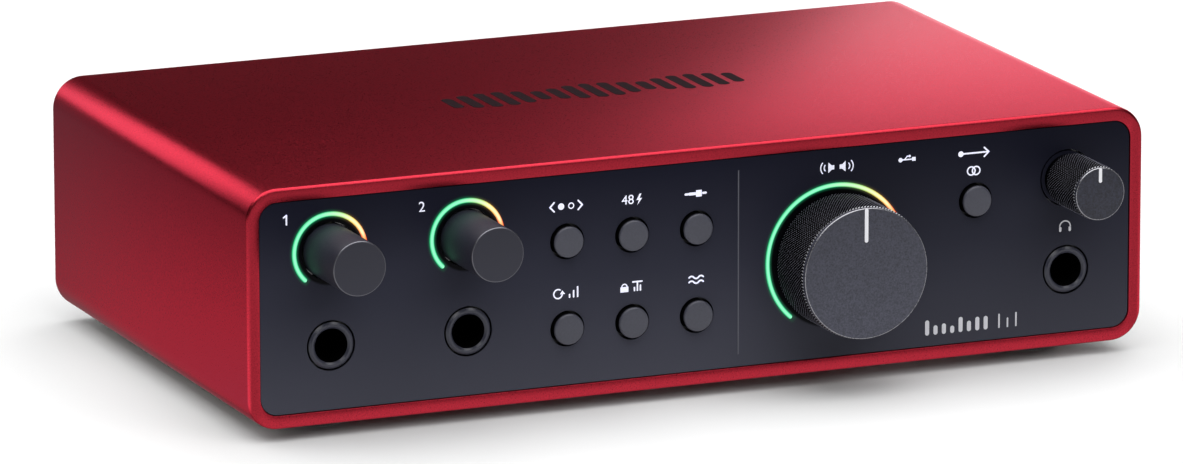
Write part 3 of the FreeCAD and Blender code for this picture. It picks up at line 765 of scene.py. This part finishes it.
for number in (1, 2):
    make_gain_knob(number)
make_grip(
    "output_grip",
    "output_knob_grip",
    "output_control",
    OUTPUT_KNURL,
    OUTPUT_R,
    bevel=0.3,
    pitch=0.62,
    rise=0.86,
    depth=0.22,
)
make_grip(
    "headphone_grip",
    "headphone_knob_grip",
    "headphone_control",
    HEADPHONE_KNURL,
    HEADPHONE_R,
    bevel=0.25,
    pitch=0.6,
    rise=0.84,
    depth=0.22,
    neck=(4.5, 3.8),
)
make_skirt()
make_face("output", "output_control", OUTPUT_FACE, pointer_width=0.74, pointer_start=5.9)
make_face("headphone", "headphone_control", HEADPHONE_FACE, pointer_width=0.66, pointer_start=2.15)

# ---------------------------------------------------------------- buttons


def make_button(name):
    """Round cap with a flange behind the panel and a stem on the switch."""
    lo, hi = box_mm(f"button_{name}")
    mid = (lo + hi) / 2
    cap_r, flange_r, stem_r = 2.93, 4.0, 2.4
    flange_front, flange_back = lo.y + 3.4, lo.y + 4.4
    bm = bmesh.new()
    profile = [
        (0, lo.y, 0),
        (cap_r, lo.y, 0.4),
        (cap_r, flange_front, 0),
        (flange_r, flange_front, 0.15),
        (flange_r, flange_back, 0.15),
        (stem_r, flange_back, 0),
        (stem_r, hi.y, 0),
        (0, hi.y, 0),
    ]
    turn(bm, mid.x, mid.z, profile, 64)
    finish_piece(f"cap_{name}", bm, BUTTON, f"{name}_push", [f"button_{name}"])


for button in BUTTON_NAMES:
    make_button(button)

# ---------------------------------------------------------------- jacks

for name in ("input_jack_1", "input_jack_2", "headphone_jack", "output_jack_left", "output_jack_right"):
    soften = nodes[name].modifiers.new("soft_edges", "BEVEL")
    soften.width, soften.segments, soften.limit_method = 0.25 * MM, 3, "ANGLE"
    soften.angle_limit = math.radians(50)

# ---------------------------------------------------------------- rear screws

# Two screws on the diagonal of each microphone socket, after the panel's own four.
MIC_XS = [centre_mm(f"mic_socket_{number}").x for number in (1, 2)]
MIC_Z, MIC_SCREW = 25.0, 10.7
SCREW_PLACES = [(84.0, 41.6), (-84.0, 41.6), (60.0, 7.1), (-60.0, 7.1)]
SCREW_PLACES += [(x + side * MIC_SCREW, MIC_Z - side * MIC_SCREW) for x in MIC_XS for side in (-1, 1)]


def make_screws():
    """Countersunk screws with hexagon sockets, flush with the rear panel."""
    lo, hi = box_mm("rear_screws")
    face, end = hi.y, lo.y
    head, shank, head_end = 1.75, 0.95, face - 0.8
    socket, socket_end = 0.9, face - 0.7
    bm = bmesh.new()
    for x, z in SCREW_PLACES:
        turn(bm, x, z, [(head, face, 0), (shank, head_end, 0), (shank, end, 0), (0, end, 0)], 24)
        turn(bm, x, z, [(socket, face, 0), (socket, socket_end, 0), (0, socket_end, 0)], 6)
        bmesh.ops.remove_doubles(bm, verts=bm.verts, dist=1e-4)
        bmesh.ops.bridge_loops(bm, edges=level_rim(bm, face))
    finish_piece("rear_screw_set", bm, DARK_STEEL, "chassis", ["rear_screws"], smooth_deg=30)


make_screws()

# ---------------------------------------------------------------- lit rings


def make_ring(name, node_name, mid, radii, sweep, warm_from):
    """Domed light guide over the `sweep` in degrees, its ends round like a bead."""
    x, z = mid.x, mid.z
    r_in, r_out = radii
    half, middle = (r_out - r_in) / 2, (r_in + r_out) / 2
    root, shoulder, crown = PANEL_FACE + 1.9, PANEL_FACE - 0.16, PANEL_FACE - 0.2
    dome = [
        (r_in, root),
        (r_in, PANEL_FACE),
        (middle - half * 0.5, shoulder),
        (middle, crown),
        (middle + half * 0.5, shoulder),
        (r_out, PANEL_FACE),
        (r_out, root),
    ]
    bm = bmesh.new()
    start = math.radians(sweep[0])
    verts = [bm.verts.new((x + r * math.cos(start), y, z + r * math.sin(start))) for r, y in dome]
    edges = [bm.edges.new(pair) for pair in zip(verts, verts[1:])]
    bmesh.ops.spin(
        bm,
        geom=verts + edges,
        cent=(x, 0, z),
        axis=(0, -1, 0),
        angle=math.radians(sweep[1] - sweep[0]),
        steps=90,
        use_merge=False,
    )
    bmesh.ops.remove_doubles(bm, verts=bm.verts, dist=1e-4)
    flatten = Matrix.Diagonal((1, 0.45, 1, 1))
    for degrees in sweep:
        a = math.radians(degrees)
        end = Matrix.Translation((x + middle * math.cos(a), PANEL_FACE, z + middle * math.sin(a)))
        bmesh.ops.create_uvsphere(bm, u_segments=16, v_segments=8, radius=half, matrix=end @ flatten)
    material = lit_ring(name + "_light", x, z, r_in, r_out, warm_from)
    finish_piece(name, bm, material, "chassis", [node_name], smooth_deg=60)


for number, mid in enumerate(gain_mids, 1):
    make_ring(
        f"gain_light_{number}", f"gain_ring_{number}", mid, GAIN_RING, sweep=(-45.0, 225.0), warm_from=0.68
    )
make_ring("output_light", "output_ring", output_mid, OUTPUT_RING, sweep=(-48.0, 228.0), warm_from=0.63)

# ---------------------------------------------------------------- markings

# Widths of the lines that the marks are drawn with.
THIN = 0.22
LINE = 0.31


def print_mark(name, draw, x, z, side="front", ink=INK_LIT, depth=0.04):
    """Draws one mark and prints it on a panel at row position x, z (x, y on the top)."""
    bm = bmesh.new()
    draw(bm)
    places = {"front": (x, PANEL_FACE, z), "rear": (x, REAR_FACE, z), "top": (x, z, sleeve_hi.z)}
    lay(bm, places[side], side, depth)
    finish_piece(name, bm, ink, "chassis")


def print_rear(name, draw, x, z):
    print_mark(name, draw, x, z, side="rear", ink=INK_PALE_PAINTED_GLOW)


def figure_one(bm):
    path(bm, [(-0.42, 0.5), (0.12, 0.85), (0.12, -0.85)], LINE)


def channel_choice(bm):
    for side in (-1, 1):
        path(bm, [(side * 2.4, 0.85), (side * 3.2, 0.0), (side * 2.4, -0.85)], LINE)
    dot(bm, (-1.0, 0), 0.62)
    arc(bm, (1.0, 0), 0.5, 0, 360, LINE * 0.7)


def phantom_supply(bm):
    numeral(bm, "48", 1.75, (-0.6, 0.0))
    bolt = [(1.75, 1.05), (1.1, -0.12), (1.6, -0.12), (1.3, -1.05), (2.25, 0.22), (1.72, 0.22), (2.1, 1.05)]
    outline(bm, bolt)


def instrument_plug(bm):
    stroke(bm, (-2.0, 0), (-1.55, 0), 0.42)
    stroke(bm, (-1.2, 0), (-0.1, 0), 0.55)
    outline(bm, [(0.1, -0.62), (1.25, -0.62), (1.25, 0.62), (0.1, 0.62)])
    stroke(bm, (1.5, 0), (2.05, 0), 0.42)


def automatic_level(bm):
    arc(bm, (-1.55, 0), 0.85, 60, 360, LINE * 0.85)
    outline(bm, [(-1.2, -0.1), (-0.15, -0.1), (-0.68, 0.62)])
    for step, height in enumerate((0.5, 1.15, 1.8)):
        x = 0.75 + 0.8 * step
        stroke(bm, (x, -0.8), (x, -0.8 + height), LINE)


def clip_guard(bm):
    arc(bm, (-1.3, 0.05), 0.52, 0, 180, THIN)
    outline(bm, [(-2.1, -0.95), (-0.5, -0.95), (-0.5, 0.05), (-2.1, 0.05)])
    stroke(bm, (0.4, 0.85), (2.2, 0.85), LINE)
    for x, height in ((0.7, 0.55), (1.9, 0.9)):
        stroke(bm, (x, -0.8), (x, -0.8 + height), LINE)
    stroke(bm, (1.3, -0.8), (1.3, 0.6), LINE)


def air_waves(bm):
    for row in (-0.45, 0.45):
        arc(bm, (-0.75, row - 0.3), 0.6, 38, 142, LINE)
        arc(bm, (0.2, row + 0.44), 0.6, 218, 322, LINE)
        arc(bm, (1.15, row - 0.3), 0.6, 38, 142, LINE)


def stereo_speakers(bm):
    for side in (-1, 1):
        cone = [(0.55, -0.4), (1.05, -0.4), (1.75, -1.0), (1.75, 1.0), (1.05, 0.4), (0.55, 0.4)]
        points = [(side * u, v) for u, v in cone]
        outline(bm, points if side > 0 else points[::-1])
        middle = 0 if side > 0 else 180
        for radius in (0.75, 1.45):
            arc(bm, (side * 1.85, 0), radius, middle - 42, middle + 42, THIN)


def speaker_cone(bm):
    outline(bm, [(-1.5, -0.45), (-0.95, -0.45), (-0.1, -1.1), (-0.1, 1.1), (-0.95, 0.45), (-1.5, 0.45)])
    for radius in (0.75, 1.5):
        arc(bm, (0.0, 0), radius, -42, 42, THIN)


def power_bolt(bm):
    left = [(0.0, 1.25), (-0.75, -0.12), (-0.1, -0.12), (-0.5, -1.25)]
    right = [(0.7, 0.28), (0.05, 0.28), (0.5, 1.25)]
    outline(bm, left + right)


def padlock(bm):
    arc(bm, (0, 0.2), 0.55, 0, 180, THIN)
    outline(bm, [(-0.85, -1.0), (0.85, -1.0), (0.85, 0.2), (-0.85, 0.2)])


def link(bm):
    dot(bm, (-1.35, 0), 0.42)
    stroke(bm, (-1.2, 0), (1.2, 0), 0.24)
    outline(bm, [(1.0, -0.36), (1.72, -0.36), (1.72, 0.36), (1.0, 0.36)])
    path(bm, [(-0.5, 0.04), (0.0, 0.62), (0.42, 0.62)], 0.22)
    dot(bm, (0.5, 0.62), 0.24)


def direct_path(bm):
    dot(bm, (-2.7, 0), 0.55)
    stroke(bm, (-2.5, 0), (2.9, 0), LINE)
    path(bm, [(2.1, 0.85), (3.0, 0), (2.1, -0.85)], LINE)


def ring_pair(bm):
    arc(bm, (-0.5, 0), 0.78, 0, 360, 0.26)
    arc(bm, (0.5, 0), 0.78, 0, 360, 0.26)


def headphones(bm):
    arc(bm, (0, -0.1), 1.1, 0, 180, 0.24)
    for side in (-1, 1):
        stroke(bm, (side * 0.98, -0.35), (side * 0.98, -0.8), 0.5)


def divider(bm):
    half_width, half_height = 0.12, 17.5
    corners = [(-1, -1), (1, -1), (1, 1), (-1, 1)]
    outline(bm, [(u * half_width, v * half_height) for u, v in corners])


def series_mark(bm):
    """Wordless mark: bold bars of uneven height, then thinner ones."""
    base, bold, fine = -1.35, 0.84, 0.32
    for step, height in enumerate((2.9, 1.8, 2.0, 1.4, 2.9, 2.0, 2.6, 2.6)):
        x = -9.4 + 1.72 * step
        stroke(bm, (x, base + bold / 2), (x, base + height - bold / 2), bold)
    for step, height in enumerate((2.6, 1.7, 2.6)):
        x = 5.4 + 1.75 * step
        stroke(bm, (x, base + fine / 2), (x, base + height), fine)


def wave_mark(bm):
    """Wordless mark for the top: a run of rounded bars like a sound wave."""
    count, pitch, width, reach = 17, 3.58, 2.3, 5.9
    for step in range(count):
        x = (step - (count - 1) / 2) * pitch
        swell = 0.55 + 0.45 * abs(math.cos(x * 0.155))
        half = reach * swell - width / 2
        stroke(bm, (x, -half), (x, half), width)


print_mark("mark_channel_1", figure_one, -82.2, 41.5)
print_mark("mark_channel_2", lambda bm: numeral(bm, "2", 1.9), -55.6, 41.4)
print_mark("mark_select", channel_choice, -27.1, 38.95)
print_mark("mark_phantom", phantom_supply, -14.2, 38.9)
print_mark("mark_instrument", instrument_plug, -1.25, 38.9)
print_mark("mark_auto", automatic_level, -27.2, 22.5)
print_mark("mark_safe", clip_guard, -14.2, 22.5)
print_mark("mark_air", air_waves, -1.3, 22.5)
print_mark("mark_output", stereo_speakers, 27.3, 41.3)
print_mark("mark_link", link, 41.6, 41.4)
print_mark("mark_direct", direct_path, 55.3, 41.4)
print_mark("mark_stereo", ring_pair, 55.25, 38.0)
print_mark("mark_headphones", headphones, 74.2, 25.6, ink=INK_PALE_PAINTED_GLOW)
print_mark("panel_divider", divider, 7.4, 25.0, ink=INK_GREY_PAINTED_GLOW)
print_mark("mark_series", series_mark, 55.3, 8.6, ink=INK_PALE_PAINTED_GLOW)
for number, x in enumerate(MIC_XS, 1):
    print_rear(f"rear_channel_{number}", lambda bm: numeral(bm, str(number), 2.4), x, 40.6)
for side in ("left", "right"):
    print_rear(f"rear_speaker_{side}", speaker_cone, centre_mm(f"output_jack_{side}").x, 34.4)
print_rear("rear_link", link, centre_mm("usb_port").x, 17.6)
print_rear("rear_power", power_bolt, centre_mm("power_port").x, 17.6)
print_rear("rear_lock", padlock, 80.5, 19.4)
print_mark("mark_maker", wave_mark, 0.2, 8.0, side="top", ink=INK_DARK, depth=0.03)

# ---------------------------------------------------------------- studio


def look_at(obj, target):
    obj.rotation_euler = (Vector(target) - obj.location).to_track_quat("-Z", "Y").to_euler()


def softbox(name, place, target, size, watts):
    data = bpy.data.lights.new(name, "AREA")
    data.shape = "RECTANGLE"
    data.size, data.size_y = size
    data.energy = watts
    made = bpy.data.objects.new(name, data)
    bpy.context.scene.collection.objects.link(made)
    made.location = place
    look_at(made, target)
    made.visible_camera = False


def make_floor():
    bm = bmesh.new()
    bmesh.ops.create_grid(bm, x_segments=1, y_segments=1, size=20.0)
    mesh = bpy.data.meshes.new("floor")
    bm.to_mesh(mesh)
    bm.free()
    m = Recipe("floor_paper", Roughness=0.6, Specular_IOR_Level=0.2)
    m.colour(m.mix(m.noise(60.0), (0.84, 0.84, 0.84, 1.0), (0.85, 0.85, 0.85, 1.0)))
    mesh.materials.append(m.material)
    floor = bpy.data.objects.new("floor", mesh)
    bpy.context.scene.collection.objects.link(floor)
    # The case mirrors the soft studio gradient below instead of the white paper.
    floor.visible_glossy = False


def studio_world(above, low_front, low_back):
    """Soft gradient: dim overhead, brighter below the horizon in front than behind."""
    world = bpy.data.worlds.new("studio")
    bpy.context.scene.world = world
    world.use_nodes = True
    tree = world.node_tree
    split = tree.nodes.new("ShaderNodeSeparateXYZ")
    tree.links.new(tree.nodes.new("ShaderNodeTexCoord").outputs["Generated"], split.inputs[0])

    def fade(socket, reach, start, end):
        made = tree.nodes.new("ShaderNodeMapRange")
        made.interpolation_type = "SMOOTHSTEP"
        tree.links.new(socket, made.inputs["Value"])
        made.inputs["From Min"].default_value, made.inputs["From Max"].default_value = -reach, reach
        made.inputs["To Max"].default_value = end
        if isinstance(start, float):
            made.inputs["To Min"].default_value = start
        else:
            tree.links.new(start, made.inputs["To Min"])
        return made.outputs["Result"]

    low = fade(split.outputs["Y"], 0.5, low_front, low_back)
    # The room behind the floor is seen plain and pale; the gradient only lights and is mirrored.
    seen = tree.nodes.new("ShaderNodeMix")
    tree.links.new(tree.nodes.new("ShaderNodeLightPath").outputs["Is Camera Ray"], seen.inputs["Factor"])
    tree.links.new(fade(split.outputs["Z"], 0.03, low, above), seen.inputs["A"])
    seen.inputs["B"].default_value = 0.95
    tree.links.new(seen.outputs["Result"], tree.nodes["Background"].inputs["Strength"])
    tree.nodes["Background"].inputs["Color"].default_value = (1.0, 1.0, 1.0, 1.0)


make_floor()
softbox("overhead", (-0.1, -0.05, 1.1), (-0.1, -0.05, 0.0), (1.9, 1.7), 27.0)
softbox("front", (0.3, -1.2, 0.9), (0.0, 0.0, 0.0), (1.2, 0.8), 6.0)
softbox("back_right", (0.63, 0.6, 0.211), (0.1, 0.0, 0.03), (0.62, 0.5), 1.5)
softbox("back_left", (-0.28, 0.65, 0.31), (0.0, 0.0, 0.03), (0.36, 0.42), 0.84)
studio_world(0.02, 0.8, 0.33)

# ---------------------------------------------------------------- camera

camera_data = bpy.data.cameras.new("camera")
camera = bpy.data.objects.new("camera", camera_data)
bpy.context.scene.collection.objects.link(camera)
camera_data.sensor_width = 36.0
camera_data.lens = 315.26
camera_data.clip_start, camera_data.clip_end = 0.05, 50.0
underside = Vector((SLEEVE_MID.x, SLEEVE_MID.y, sleeve_lo.z)) * MM
camera.location = underside + Vector((-0.74068, -1.75493, 0.47696))
yaw, pitch, roll = math.radians(22.8674), math.radians(13.5556), math.radians(-0.079)
level = math.cos(pitch)
forward = Vector((math.sin(yaw) * level, math.cos(yaw) * level, -math.sin(pitch)))
camera.rotation_mode = "QUATERNION"
camera.rotation_quaternion = forward.to_track_quat("-Z", "Y") @ Quaternion((0, 0, 1), roll)
bpy.context.scene.camera = camera
bpy.context.scene.view_settings.view_transform = "Standard"
